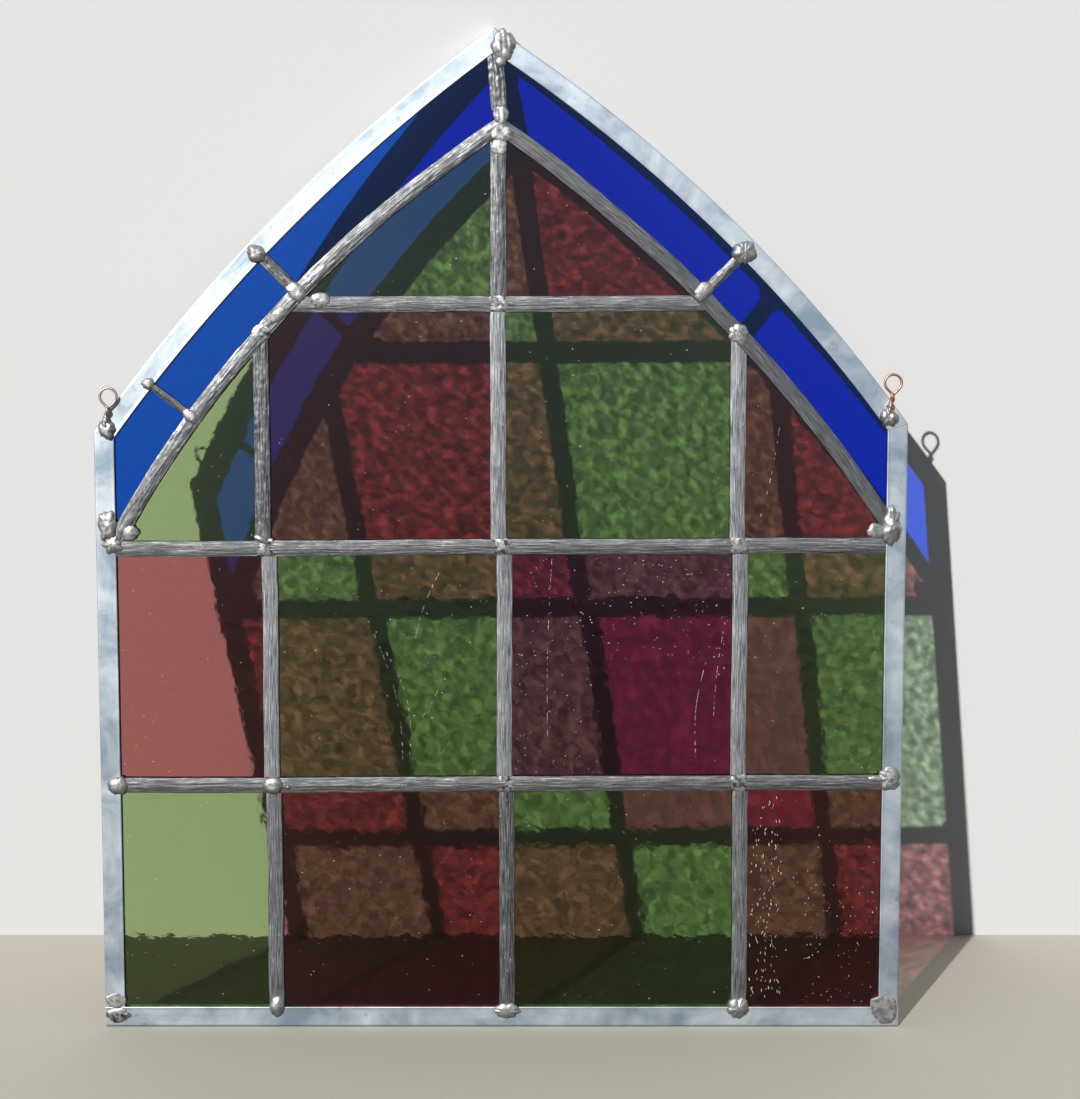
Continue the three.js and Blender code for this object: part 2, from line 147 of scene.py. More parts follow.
# Millimetres on the panel to metres in the model's frame: (x, y, z + bottom) / 1000.
def toFrame(x, y, z):
    return np.stack(np.broadcast_arrays(x, y, z + panel["bottomHeight"]), -1) / 1000


# A mesh from points, four-cornered faces and their map corners, and end faces of any number of
# corners. Its volume is the sum of p0 . (p1 x p2) / 6, and where that is negative it is turned.
def meshPiece(name, points, faces, maps, ends, material, nodes=(), sharpAngle=40):
    flat = points.reshape(-1, 3)
    a, b, c, d = (flat[faces[:, k]] for k in range(4))
    volume = (a * np.cross(b, c)).sum() + (a * np.cross(c, d)).sum()
    if volume < 0:
        faces, maps = faces[:, ::-1], maps[:, ::-1]
        ends = [end[::-1] for end in ends]
    corners = np.concatenate([faces.ravel(), *ends]).astype(np.int32)
    sizes = np.concatenate([np.full(len(faces), 4), [len(end) for end in ends]]).astype(np.int32)
    starts = np.concatenate([[0], np.cumsum(sizes)[:-1]]).astype(np.int32)
    endMaps = [np.zeros((len(end), 2)) for end in ends]
    mapValues = np.concatenate([maps.reshape(-1, 2), *endMaps]).astype(np.float32)
    mesh = bpy.data.meshes.new(name)
    mesh.vertices.add(len(flat))
    mesh.vertices.foreach_set("co", flat.astype(np.float32).ravel())
    mesh.loops.add(len(corners))
    mesh.loops.foreach_set("vertex_index", corners)
    mesh.polygons.add(len(starts))
    mesh.polygons.foreach_set("loop_start", starts)
    mesh.update(calc_edges=True)
    mesh.uv_layers.new(name="along").data.foreach_set("uv", mapValues.ravel())
    mesh.polygons.foreach_set("use_smooth", np.ones(len(starts), bool))
    mesh.set_sharp_from_angle(angle=math.radians(sharpAngle))
    mesh.validate()
    mesh.materials.append(material)
    piece = bpy.data.objects.new(name, mesh)
    bpy.context.scene.collection.objects.link(piece)
    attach(piece, "root")
    if nodes:
        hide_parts(*nodes)
    return piece


# The faces of a grid of rows and columns whose columns run round and close on themselves.
def tubeFaces(rows, columns):
    i, j = np.meshgrid(np.arange(rows - 1), np.arange(columns), indexing="ij")
    after = (j + 1) % columns
    row, above = i * columns, (i + 1) * columns
    faces = np.stack([row + j, above + j, above + after, row + after], -1)
    return faces.reshape(-1, 4), i.ravel(), j.ravel()


# A section's outline with points no further apart than a step, by equal steps along each side.
def fineSection(keys, step):
    keys = np.array(keys, float)
    after = np.roll(keys, -1, 0)
    counts = np.maximum(np.ceil(np.hypot(*(after - keys).T) / step).astype(int), 1)
    parts = [keys[k] + (after[k] - keys[k]) * np.arange(n)[:, None] / n for k, n in enumerate(counts)]
    return np.concatenate(parts)


# A section carried along a path: p(s, v) = path(s) + u(v) outwards + y(v) backwards, moved along the
# section's own normal by relief(s, u, v). First and last give where each column starts and ends.
def sweptPiece(name, path, section, first, last, step, relief, material, slot, nodes, bend=None):
    u, y = section.T
    before, after = np.roll(section, 1, 0), np.roll(section, -1, 0)
    tangent = after - before
    tangent /= np.hypot(*tangent.T)[:, None]
    area = (before[:, 0] * section[:, 1] - section[:, 0] * before[:, 1]).sum()
    normalU, normalY = (tangent[:, 1], -tangent[:, 0]) if area > 0 else (-tangent[:, 1], tangent[:, 0])
    rows = max(int(np.abs(last - first).max() / step), 3)
    share = np.linspace(0, 1, rows)[:, None]
    s = first + (last - first) * share
    height = relief(s, u + 0 * s, y + 0 * s)
    easeEnds = np.clip(np.minimum(share, 1 - share) * rows / 3, 0, 1)
    sideways = (bend(s) if bend else 0) * easeEnds
    placeX, placeZ, outX, outZ = path(s)
    reach = u + height * normalU + sideways
    points = toFrame(placeX + reach * outX, y + height * normalY, placeZ + reach * outZ)
    faces, i, j = tubeFaces(rows, len(u))
    around = np.concatenate([[0], np.cumsum(np.hypot(*(after - section).T))]) / 1000
    length = s / 1000
    maps = np.stack([
        np.stack([length[i, j], around[j]], -1),
        np.stack([length[i + 1, j], around[j]], -1),
        np.stack([length[i + 1, (j + 1) % len(u)], around[j + 1]], -1),
        np.stack([length[i, (j + 1) % len(u)], around[j + 1]], -1),
    ], 1)
    ring = np.arange(len(u))
    ends = [ring, (ring + (rows - 1) * len(u))[::-1]]
    return meshPiece(name, points, faces, maps, ends, material, nodes)


# A straight path: p + s w, with outwards to the right of the way.
def straightPath(start, end):
    way = wayOf(start, end)
    return lambda s: (start[0] + s * way[0], start[1] + s * way[1], way[1] + 0 * s, -way[0] + 0 * s)


# A path round an arc: c + r (cos a, sin a), where s is the length r a and outwards is the radius.
def archPath(centre, radius):
    def place(s):
        outX, outZ = np.cos(s / radius), np.sin(s / radius)
        return centre[0] + radius * outX, centre[1] + radius * outZ, outX, outZ
    return place


# A material with its one Principled shader.
def newMaterial(name):
    material = bpy.data.materials.new(name)
    material.use_nodes = True
    tree = material.node_tree
    return material, tree, tree.nodes["Principled BSDF"]


# A node with its settings and with the values of its sockets.
def node(tree, kind, settings=None, **values):
    made = tree.nodes.new(kind)
    for key, value in (settings or {}).items():
        setattr(made, key, value)
    for key, value in values.items():
        made.inputs[key.replace("_", " ")].default_value = value
    return made


# A texture's place by the piece's own coordinates.
def objectPlace(tree):
    return node(tree, "ShaderNodeTexCoord").outputs["Object"]


# A texture's place by the map of a bar: metres along it and metres round its section.
def alongPlace(tree):
    return node(tree, "ShaderNodeUVMap", {"uv_map": "along"}).outputs["UV"]


# A noise whose pattern is stretched by a scale along each axis of its coordinates.
def noiseOf(tree, source, scale, detail=4.0, roughness=0.55, stretch=(1, 1, 1), distortion=0.0):
    mapping = node(tree, "ShaderNodeMapping")
    mapping.inputs["Scale"].default_value = stretch
    tree.links.new(source, mapping.inputs["Vector"])
    noise = node(tree, "ShaderNodeTexNoise", Scale=scale, Detail=detail, Roughness=roughness,
                 Distortion=distortion)
    tree.links.new(mapping.outputs["Vector"], noise.inputs["Vector"])
    return noise.outputs["Fac"]


# Colours or greys at places from 0 to 1 along a factor.
def rampOf(tree, factor, stops):
    ramp = node(tree, "ShaderNodeValToRGB")
    elements = ramp.color_ramp.elements
    while len(elements) < len(stops):
        elements.new(0.5)
    for element, (place, colour) in zip(elements, stops):
        element.position = place
        element.color = (*colour, 1) if isinstance(colour, tuple) else (colour, colour, colour, 1)
    tree.links.new(factor, ramp.inputs["Fac"])
    return ramp.outputs["Color"]


# (1 - factor) first + factor second, or another way of blending them.
def mixColour(tree, factor, first, second, blend="MIX"):
    mix = node(tree, "ShaderNodeMix", {"data_type": "RGBA", "blend_type": blend})
    for value, socket in ((factor, mix.inputs[0]), (first, mix.inputs[6]), (second, mix.inputs[7])):
        if isinstance(value, (float, int)):
            socket.default_value = value
        elif isinstance(value, tuple):
            socket.default_value = (*value, 1)
        else:
            tree.links.new(value, socket)
    return mix.outputs[2]


# A colour laid over another: by none where a texture is at low, by its share from high up.
def layOver(tree, texture, low, high, share, under, over):
    return mixColour(tree, rampOf(tree, texture, [(low, 0.0), (high, share)]), under, over)


# (1 - factor) first + factor second, for two shaders.
def mixShaders(tree, factor, first, second):
    mix = node(tree, "ShaderNodeMixShader")
    for source, socket in zip((factor, first, second), mix.inputs):
        tree.links.new(source, socket)
    return mix.outputs[0]


# Two values taken from each other or compared, and held between 0 and 1.
def clampedMath(tree, operation, first, second):
    made = node(tree, "ShaderNodeMath", {"operation": operation, "use_clamp": True})
    tree.links.new(first, made.inputs[0])
    tree.links.new(second, made.inputs[1])
    return made.outputs[0]


# A normal tilted by the slope of a height, on top of another normal if one is given.
def bumpOf(tree, height, strength, distance, normal=None):
    bump = node(tree, "ShaderNodeBump", Strength=strength, Distance=distance)
    tree.links.new(height, bump.inputs["Height"])
    if normal:
        tree.links.new(normal, bump.inputs["Normal"])
    return bump.outputs["Normal"]


# A metal's shader: its colour, share of metal, roughness and normal.
def metalFinish(tree, shader, colour, metallic, roughness, normal):
    tree.links.new(colour, shader.inputs["Base Color"])
    shader.inputs["Metallic"].default_value = metallic
    tree.links.new(roughness, shader.inputs["Roughness"])
    tree.links.new(normal, shader.inputs["Normal"])


# Pale bluish zinc: soft cloudy patches, faint brushing along the bar and small grey stains.
def zincMaterial():
    look = {"pale": (0.48, 0.54, 0.59), "blue": (0.30, 0.39, 0.48), "stain": (0.24, 0.26, 0.28)}
    material, tree, shader = newMaterial("zincChannel")
    place = objectPlace(tree)
    along = alongPlace(tree)
    cloud = noiseOf(tree, place, 38, 5, 0.6, distortion=0.6)
    brushed = noiseOf(tree, along, 60, 5, 0.65, (1, 45, 1))
    stains = noiseOf(tree, place, 170, 4, 0.6)
    colour = rampOf(tree, cloud, [(0.34, look["blue"]), (0.5, look["pale"]), (0.72, (0.66, 0.70, 0.73))])
    colour = layOver(tree, brushed, 0.35, 0.75, 0.45, colour, (0.6, 0.65, 0.69))
    colour = layOver(tree, stains, 0.62, 0.74, 0.5, colour, look["stain"])
    rough = rampOf(tree, cloud, [(0.3, 0.32), (0.7, 0.5)])
    normal = bumpOf(tree, stains, 0.2, 0.0003, bumpOf(tree, brushed, 0.25, 0.0002))
    metalFinish(tree, shader, colour, 0.62, rough, normal)
    return material


# Lead: mid grey, streaked along its length, dark in the grooves and lighter in rubbed streaks, with painted
# glints.
# Bright is the share of the painted glints of highlight laid into the colour.
def leadMaterial(name, streak, bright, tone):
    # Tone scales these greys into a lighter or darker copy of the lead: painted light and shade.
    look = {
        "dark": (0.03, 0.031, 0.034),
        "mid": (0.2 * tone, 0.2 * tone, 0.205 * tone),
        "light": (0.55 * tone, 0.545 * tone, 0.54 * tone),
        "patch": (0.15 * tone, 0.15 * tone, 0.155 * tone),
    }
    material, tree, shader = newMaterial(name)
    place = objectPlace(tree)
    along = alongPlace(tree)
    streaks = noiseOf(tree, along, 75, 6, 0.7, (1, streak, 1), 0.2)
    patches = noiseOf(tree, place, 120, 5, 0.6)
    # Painted highlight: fine near-white glints laid into the colour, which also bump the face.
    paintedGlints = noiseOf(tree, along, 260, 4, 0.65, (1, streak / 9, 1))
    colour = rampOf(tree, streaks, [(0.36, look["dark"]), (0.5, look["mid"]), (0.64, look["light"])])
    colour = layOver(tree, patches, 0.45, 0.65, 0.5, colour, look["patch"])
    colour = layOver(tree, paintedGlints, 0.62, 0.7, bright, colour, (0.8, 0.79, 0.77))
    rough = rampOf(tree, patches, [(0.3, 0.3), (0.7, 0.52)])
    normal = bumpOf(tree, paintedGlints, 0.25, 0.0002, bumpOf(tree, streaks, 0.5, 0.0004))
    metalFinish(tree, shader, colour, 0.72, rough, normal)
    return material


# Solder: bright and lumpy, ivory grey, with dull grey skin and dark pits of flux.
def solderMaterial(name, skin, shine):
    look = {"bright": (0.50, 0.48, 0.45), "pit": (0.05, 0.048, 0.045)}
    material, tree, shader = newMaterial(name)
    place = objectPlace(tree)
    cloud = noiseOf(tree, place, 420, 4, 0.6)
    pits = noiseOf(tree, place, 1300, 3, 0.55)
    colour = layOver(tree, cloud, 0.4, 0.62, 1.0, look["bright"], skin)
    colour = layOver(tree, pits, 0.64, 0.74, 0.8, colour, look["pit"])
    rough = rampOf(tree, cloud, [(0.3, shine), (0.7, shine + 0.2)])
    normal = bumpOf(tree, pits, 0.3, 0.0002, bumpOf(tree, cloud, 0.35, 0.0005))
    metalFinish(tree, shader, colour, 0.85, rough, normal)
    return material


# Tinned copper wire, the tin worn through to copper in long patches.
def wireMaterial(name, copperShare):
    material, tree, shader = newMaterial(name)
    place = objectPlace(tree)
    worn = noiseOf(tree, place, 260, 4, 0.6)
    fine = noiseOf(tree, place, 1800, 3, 0.6)
    stops = [(0.62 - copperShare, (0.42, 0.38, 0.35)), (0.72 - copperShare, (0.60, 0.29, 0.18))]
    rough = rampOf(tree, fine, [(0.3, 0.28), (0.7, 0.5)])
    metalFinish(tree, shader, rampOf(tree, worn, stops), 0.9, rough, bumpOf(tree, fine, 0.2, 0.0001))
    return material


# See-through glass. Lamps see a tinted stand-in whose light and dark spots are the light that the
# hammered face gathers and spreads; eyes see the clear body of the glass.
def glassMaterial(name, body, lamp, spots, rough=0.03):
    material, tree, shader = newMaterial(name)
    place = objectPlace(tree)
    shader.inputs["Base Color"].default_value = (*body, 1)
    shader.inputs["Roughness"].default_value = rough
    shader.inputs["IOR"].default_value = 1.5
    shader.inputs["Transmission Weight"].default_value = 1.0
    dimples = noiseOf(tree, place, 520, 2, 0.5)
    tree.links.new(bumpOf(tree, dimples, 0.06, 0.0006), shader.inputs["Normal"])
    clear = node(tree, "ShaderNodeBsdfTransparent")
    if spots:
        cells = noiseOf(tree, place, spots["size"], 1, 0.5, spots["stretch"])
        fine = noiseOf(tree, place, spots["size"] * 2.6, 2, 0.5, spots["stretch"])
        dim = rampOf(tree, cells, [(0.34, spots["dark"]), (0.5, 0.88), (0.66, spots["bright"])])
        dim = mixColour(tree, 1.0, dim, rampOf(tree, fine, [(0.40, 0.85), (0.58, 1.06)]), "MULTIPLY")
        tree.links.new(mixColour(tree, 1.0, lamp, dim, "MULTIPLY"), clear.inputs["Color"])
    else:
        clear.inputs["Color"].default_value = (*lamp, 1)
    toLamp = node(tree, "ShaderNodeLightPath").outputs["Is Shadow Ray"]
    mixed = mixShaders(tree, toLamp, shader.outputs[0], clear.outputs[0])
    tree.links.new(mixed, tree.nodes["Material Output"].inputs["Surface"])
    return material


# Pale dry dust, a little uneven in tone.
def dustMaterial():
    material, tree, shader = newMaterial("dustPale")
    tone = noiseOf(tree, objectPlace(tree), 90, 3)
    colour = rampOf(tree, tone, [(0.35, (0.3, 0.27, 0.24)), (0.65, (0.85, 0.8, 0.74))])
    tree.links.new(colour, shader.inputs["Base Color"])
    shader.inputs["Roughness"].default_value = 0.6
    return material


dustFinish = dustMaterial()
zincFinish = zincMaterial()
# Lead copies: streak stretch, share of painted glints and tone. Tone 0.72 darkens the cross cames, right
# arch half and crinkled lead as painted shade; the uprights are lightened row by row as painted light.
leadFinish = leadMaterial("leadCame", 42, 0.25, 0.72)
uprightPaintedLight = {"lower": 1.1, "middle": 1.5, "upper": 1.4, "peak": 1.4}
uprightFinish = {
    row: leadMaterial(f"lead{row.title()}", 42, 0.7, tone) for row, tone in uprightPaintedLight.items()
}
crinkledFinish = leadMaterial("leadCrinkled", 20, 0.6, 0.72)
brightSolder = solderMaterial("solderBright", (0.27, 0.26, 0.245), 0.34)
dullSolder = solderMaterial("solderDull", (0.19, 0.19, 0.195), 0.45)
darkSolder = solderMaterial("solderDark", (0.035, 0.037, 0.04), 0.35)
wireFinish = {"left": wireMaterial("wireLeft", 0.1), "right": wireMaterial("wireRight", 0.26)}
glassLook = {  # body seen by the eye, tint seen by the lamp, spots of gathered light
    "red": ((0.42, 0.14, 0.13), (0.57, 0.35, 0.36),
            {"size": 250, "dark": 0.45, "bright": 1.5, "stretch": (0.8, 1, 1.3)}),
    "green": ((0.345, 0.46, 0.20), (0.51, 0.62, 0.48),
              {"size": 270, "dark": 0.5, "bright": 1.4, "stretch": (1, 1, 1)}),
    "magenta": ((0.36, 0.10, 0.18), (0.62, 0.29, 0.46),
                {"size": 190, "dark": 0.75, "bright": 1.2, "stretch": (1, 1, 0.6)}),
    "blue": ((0.004, 0.085, 0.52), (0.12, 0.3, 0.95), None),
}
glassFinish = {colour: glassMaterial(f"glass{colour.title()}", *look) for colour, look in glassLook.items()}
print("materials made")


# U-shaped section: a rolled lip on the inside, a flat face, a rounded outer corner and an outer wall.
def zincSection():
    half, front, inner = panel["zincFace"] / 2, panel["zincFront"], panel["slot"]
    leaf = [
        (-half + 0.2, -inner), (-half + 0.05, -inner - 0.15), (-half, -inner - 0.35),
        (-half + 0.06, -front + 0.12), (-half + 0.22, -front), (-half + 0.5, -front - 0.02),
        (-half + 0.8, -front + 0.03), (-half + 1.1, -front + 0.07), (0, -front + 0.07),
        (half - 0.9, -front + 0.02), (half - 0.5, -front + 0.03), (half - 0.2, -front + 0.14),
        (half - 0.05, -front + 0.35), (half, -front + 0.65),
    ]
    back = [(u, -y) for u, y in leaf[::-1]]
    channel = [(half - 0.8, inner), (half - 0.8, -inner)]
    return fineSection(leaf + back + channel, 0.75)


# The inner corner of a shoulder: where the side's inner edge meets the rafter's.
def innerCorner(corner, arc):
    x = math.copysign(frameInside, corner[0])
    return np.array([x, arcHeight(arc, x, panel["zincFace"])])


# Where a shoulder's mitre is, at x, on the line from the outer corner to the inner one.
def mitreHeight(corner, arc, x):
    inner = innerCorner(corner, arc)
    return corner[1] + (inner[1] - corner[1]) * (x - corner[0]) / (inner[0] - corner[0])


# The angle at which a circle about an arc's centre meets a shoulder's mitre line, by the smaller
# root of |p + t w - c| = r.
def mitreAngle(corner, arc, radius):
    way = wayOf(corner, innerCorner(corner, arc))
    across = np.array(corner) - arc[0]
    along = across @ way
    t = -along - np.sqrt(np.maximum(along ** 2 - across @ across + radius ** 2, 0))
    return np.arctan2(across[1] + t * way[1], across[0] + t * way[0])


# Shallow dents and a few small knocks: relief = dents - knocks above a threshold.
def zincRelief(seed):
    def relief(s, u, y):
        dents = 0.05 * layeredNoise(s / 26, u / 5 + y, seed)
        dents = dents + 0.02 * layeredNoise(s / 6, u / 2 + y, seed + 5)
        return dents - 0.05 * np.clip(latticeNoise(s / 9, u / 2.4, seed + 9) - 0.6, 0, 1)
    return relief


# The five bars, cut square at the foot, on the mitre at the shoulders and upright at the apex.
def zincFrame():
    frameLook = {"step": 1.4, "butt": 0.1, "above": 400}  # above is a height over both shoulders
    section = zincSection()
    u = section[:, 0]
    half, width, gap = panel["zincFace"] / 2, panel["width"] / 2, panel["joint"]
    foot = panel["zincFace"] + frameLook["butt"]
    step, above, common = frameLook["step"], frameLook["above"], (zincFinish, "zinc")
    sweptPiece("zincBottom", straightPath((-width, half), (width, half)), section, 0 * u, 0 * u + 2 * width,
               step, zincRelief(11), *common, ["frame_bottom"])
    leftTop = mitreHeight(outer["left"], zincArcs["left"], -width + half - u) - gap
    sweptPiece("zincLeft", straightPath((-width + half, above), (-width + half, 0)), section,
               above - leftTop, 0 * u + above - foot, step, zincRelief(12), *common, ["frame_left"])
    rightTop = mitreHeight(outer["right"], zincArcs["right"], width - half + u) - gap
    sweptPiece("zincRight", straightPath((width - half, 0), (width - half, above)), section, 0 * u + foot,
               rightTop, step, zincRelief(13), *common, ["frame_right"])
    for side, name, seed in (("left", "zincArchLeft", 14), ("right", "zincArchRight", 15)):
        centre, radius = zincArcs[side]
        middle = radius - half
        sign = -1 if side == "left" else 1
        apexAngle = np.arccos((outer["apex"][0] + sign * gap / 2 - centre[0]) / (middle + u))
        footAngle = mitreAngle(outer[side], zincArcs[side], middle + u)
        first, last = (apexAngle, footAngle) if side == "left" else (footAngle, apexAngle)
        sweptPiece(name, archPath(centre, middle), section, first * middle, last * middle, step,
                   zincRelief(seed), *common, [f"frame_arch_{side}"])


zincFrame()
print("zinc frame made")


# H-shaped section: two crowned leaves, y = front - 0.45 (u / half)^2, joined by the heart.
def leadSection(face):
    half, front, inner, heart = face / 2, panel["leadFront"], panel["slot"], 0.8
    places = np.linspace(-half + 0.12, half - 0.12, 2 * int(face / 0.9) + 3)
    top = [(p, -front + 0.45 * (p / half) ** 2) for p in places]
    crown = [(-half, -front + 0.75)] + top + [(half, -front + 0.75)]
    side = [(half - 0.1, -inner), (heart, -inner), (heart, inner), (half - 0.1, inner)]
    back = [(u, -y) for u, y in crown[::-1]]
    other = [(-u, -y) for u, y in side]
    return fineSection(crown + side + back + other, 0.6)


# Long fine ridges, shallow dents and, where it was worked hard, crinkles across.
def leadRelief(seed, crinkle=0.0, ridge=1.0):
    def relief(s, u, y):
        face = np.abs(y) > panel["slot"] + 0.05
        side = np.sign(y) * 40
        ridges = 0.10 * layeredNoise(s / 34 + side, u / 0.62, seed)
        ridges = ridges + 0.05 * latticeNoise(s / 10 + side, u / 0.4, seed + 3)
        dents = 0.10 * layeredNoise(s / 11 + side, u / 2.6, seed + 6)
        worked = crinkle * layeredNoise(s / 2.1 + side, u / 1.5, seed + 8, 2)
        return face * (ridge * ridges + dents + worked)
    return relief


# A slow sideways waver of the whole bar and a quicker one of its edges.
def waver(seed, size=0.22):
    return lambda s: size * latticeNoise(s / 38, 0, seed) + 0.4 * size * latticeNoise(s / 13, 3.5, seed)


# Each cross came runs from wall to wall, and the upper one from arch to arch.
def crossCames(look):
    section = leadSection(panel["leadFace"])
    u = section[:, 0]
    for k, (name, (left, right)) in enumerate(crossHeights.items()):
        start, end = (-frameInside, left), (frameInside, right)
        way = wayOf(start, end)
        if name == "upper":
            origin = start + u[:, None] * np.array([way[1], -way[0]])
            clear = panel["leadFace"] / 2 + panel["joint"]
            last = reachOf(origin, way, leadArcs["right"][0], leadArcs["right"][1] - clear)
            first = -reachOf(origin, -way, leadArcs["left"][0], leadArcs["left"][1] - clear)
        else:
            first, last = 0 * u + panel["joint"], 0 * u + 2 * frameInside - panel["joint"]
        sweptPiece(f"cameCross{name.title()}", straightPath(start, end), section, first, last, look["step"],
                   leadRelief(31 + k), leadFinish, "lead", [f"came_cross_{name}"], waver(k + 50))


# Each upright runs from the came or bar below it up to the came or arch above it.
def uprightCames(look):
    section = leadSection(panel["leadFace"])
    u = section[:, 0]
    clear = panel["leadFace"] / 2 + panel["joint"]
    below = {"lower": None, "middle": "lower", "upper": "middle", "peak": "upper"}
    for row, places in uprightPlaces.items():
        for k, x in enumerate(places):
            floor = crossHeight(below[row], x) + clear if below[row] else panel["zincFace"] + panel["joint"]
            meetsArch = row == "peak" or (row == "upper" and k != 1)
            ceiling = archHeight(x + u, clear) if meetsArch else 0 * u + crossHeight(row, x) - clear
            number = f"_{k + 1}" if len(places) > 1 else ""
            rough = look["roughUprights"].get((row, k), 0.0)
            name = f"cameUpright{row.title()}{number.replace('_', '')}"
            finish = crinkledFinish if rough else uprightFinish[row]
            sweptPiece(name, straightPath((x, 0), (x, 500)), section, 0 * u + floor, ceiling, look["step"],
                       leadRelief(60 + 7 * k + len(row), rough), finish, "lead",
                       [f"came_upright_{row}{number}"], waver(k + 70 + len(row)))


# Each half of the arch runs from the middle down to the wall and the middle cross came.
def archCames(look):
    section = leadSection(panel["leadFace"])
    u = section[:, 0]
    half, gap = panel["leadFace"] / 2, panel["joint"]
    for side, sign in (("left", -1), ("right", 1)):
        centre, radius = leadArcs[side]
        topAngle = np.arccos((sign * gap / 2 - centre[0]) / (radius + u))
        wallAngle = np.arccos((sign * (frameInside - gap) - centre[0]) / (radius + u))
        rest = crossHeight("middle", sign * frameInside) + half + gap
        restAngle = np.arcsin((rest - centre[1]) / (radius + u))
        if side == "left":
            first, last = topAngle, np.minimum(wallAngle, np.pi - restAngle)
        else:
            first, last = np.maximum(wallAngle, restAngle), topAngle
        crinkle = look["archCrinkle"][side]
        finish = crinkledFinish if side == "left" else leadFinish
        sweptPiece(f"cameArch{side.title()}", archPath(centre, radius), section, first * radius,
                   last * radius, look["step"], leadRelief(90 + sign, crinkle), finish, "lead",
                   [f"came_arch_{side}"], waver(92 + sign, 0.18))


# Each strut runs from the zinc rafter to the lead arch, across the blue border.
def strutCames(look):
    clear = panel["joint"]
    for k, (name, (start, end, face, crinkle)) in enumerate(look["struts"].items()):
        section = leadSection(face)
        u = section[:, 0]
        way, length = wayOf(start, end), np.linalg.norm(np.subtract(end, start))
        side = "right" if name == "right" or name == "apex" else "left"
        origin = end + u[:, None] * np.array([way[1], -way[0]])
        insideFrame = [reachOf(origin, -way, centre, radius - panel["zincFace"] - clear)
                       for centre, radius in zincArcs.values()]
        outsideArch = [-reachOf(origin, -way, centre, radius + panel["leadFace"] / 2 + clear)
                       for centre, radius in leadArcs.values()]
        first = length - np.minimum(*insideFrame)
        ownArch = outsideArch[0 if side == "left" else 1]
        last = length + (np.minimum(*outsideArch) if name == "apex" else ownArch)
        words = "".join(part.title() for part in name.split("_"))
        sweptPiece(f"cameStrut{words}", straightPath(start, end), section, first, last, look["strutStep"],
                   leadRelief(120 + k, crinkle, 1.8), crinkledFinish, "lead", [f"came_strut_{name}"])


cameLook = {
    "step": 0.75,
    "strutStep": 0.4,
    "archCrinkle": {"left": 0.13, "right": 0.03},
    "roughUprights": {("upper", 0): 0.14, ("peak", 0): 0.08, ("lower", 1): 0.05},
    "struts": {  # from, to, face, crinkle
        "apex": ((-2.2, 458), (0.2, 428), 7.4, 0.2),
        "left_high": ((-112.6, 369), (-95, 351), 5.8, 0.14),
        "left_low": ((-164.6, 308.5), (-145, 293.4), 3.6, 0.1),
        "right": ((114, 369.6), (94.5, 351), 5, 0.12),
    },
}
crossCames(cameLook)
uprightCames(cameLook)
archCames(cameLook)
strutCames(cameLook)
print("lead cames made")


# The hammered face of a pane: dimples of two sizes over x and z.
def paneRelief(x, z, seed, look):
    size = look["dimple"]
    dimples = look["depth"] * layeredNoise(x / size, z / size * look["stretch"], seed, 2)
    fine = 0.35 * look["depth"] * latticeNoise(x / size * 2.7, z / size * 2.7, seed + 4)
    return dimples + fine


# A slab of two grids and a rim of four strips. Grid point (i, j) is at x = left + i dx and
# z = floor(x) + t (ceiling(x) - floor(x)). The back is at 1.5 + dimples, and the front rolls a little.
def paneSlab(name, left, right, floor, ceiling, colour, nodeName, seed, look):
    columns = int((right - left) / look["step"])
    x = np.linspace(left, right, columns)[:, None]
    low, high = floor(x), ceiling(x)
    rows = int(np.max(high - low) / look["step"])
    z = low + (high - low) * np.linspace(0, 1, rows)
    x = x + 0 * z
    back = 1.5 + paneRelief(x, z, seed, look)
    front = -1.5 + look["roll"] * layeredNoise(x / 14, z / 14, seed + 40, 2)
    points = np.stack([toFrame(x, front, z), toFrame(x, back, z)])
    i, j = np.meshgrid(np.arange(columns - 1), np.arange(rows - 1), indexing="ij")
    at = lambda i, j: i * rows + j
    quad = np.stack([at(i, j), at(i + 1, j), at(i + 1, j + 1), at(i, j + 1)], -1).reshape(-1, 4)
    behind = columns * rows
    k, m = np.arange(columns - 1), np.arange(rows - 1)
    rim = [
        np.stack([at(k + 1, 0), at(k, 0), at(k, 0) + behind, at(k + 1, 0) + behind], -1),
        np.stack([at(k, rows - 1), at(k + 1, rows - 1), at(k + 1, rows - 1) + behind,
                  at(k, rows - 1) + behind], -1),
        np.stack([at(0, m), at(0, m + 1), at(0, m + 1) + behind, at(0, m) + behind], -1),
        np.stack([at(columns - 1, m + 1), at(columns - 1, m), at(columns - 1, m) + behind,
                  at(columns - 1, m + 1) + behind], -1),
    ]
    faces = np.concatenate([quad, quad[:, ::-1] + behind, *rim])
    maps = points.reshape(-1, 3)[faces][..., [0, 2]]
    return meshPiece(name, points, faces, maps, [], glassFinish[colour], [nodeName])


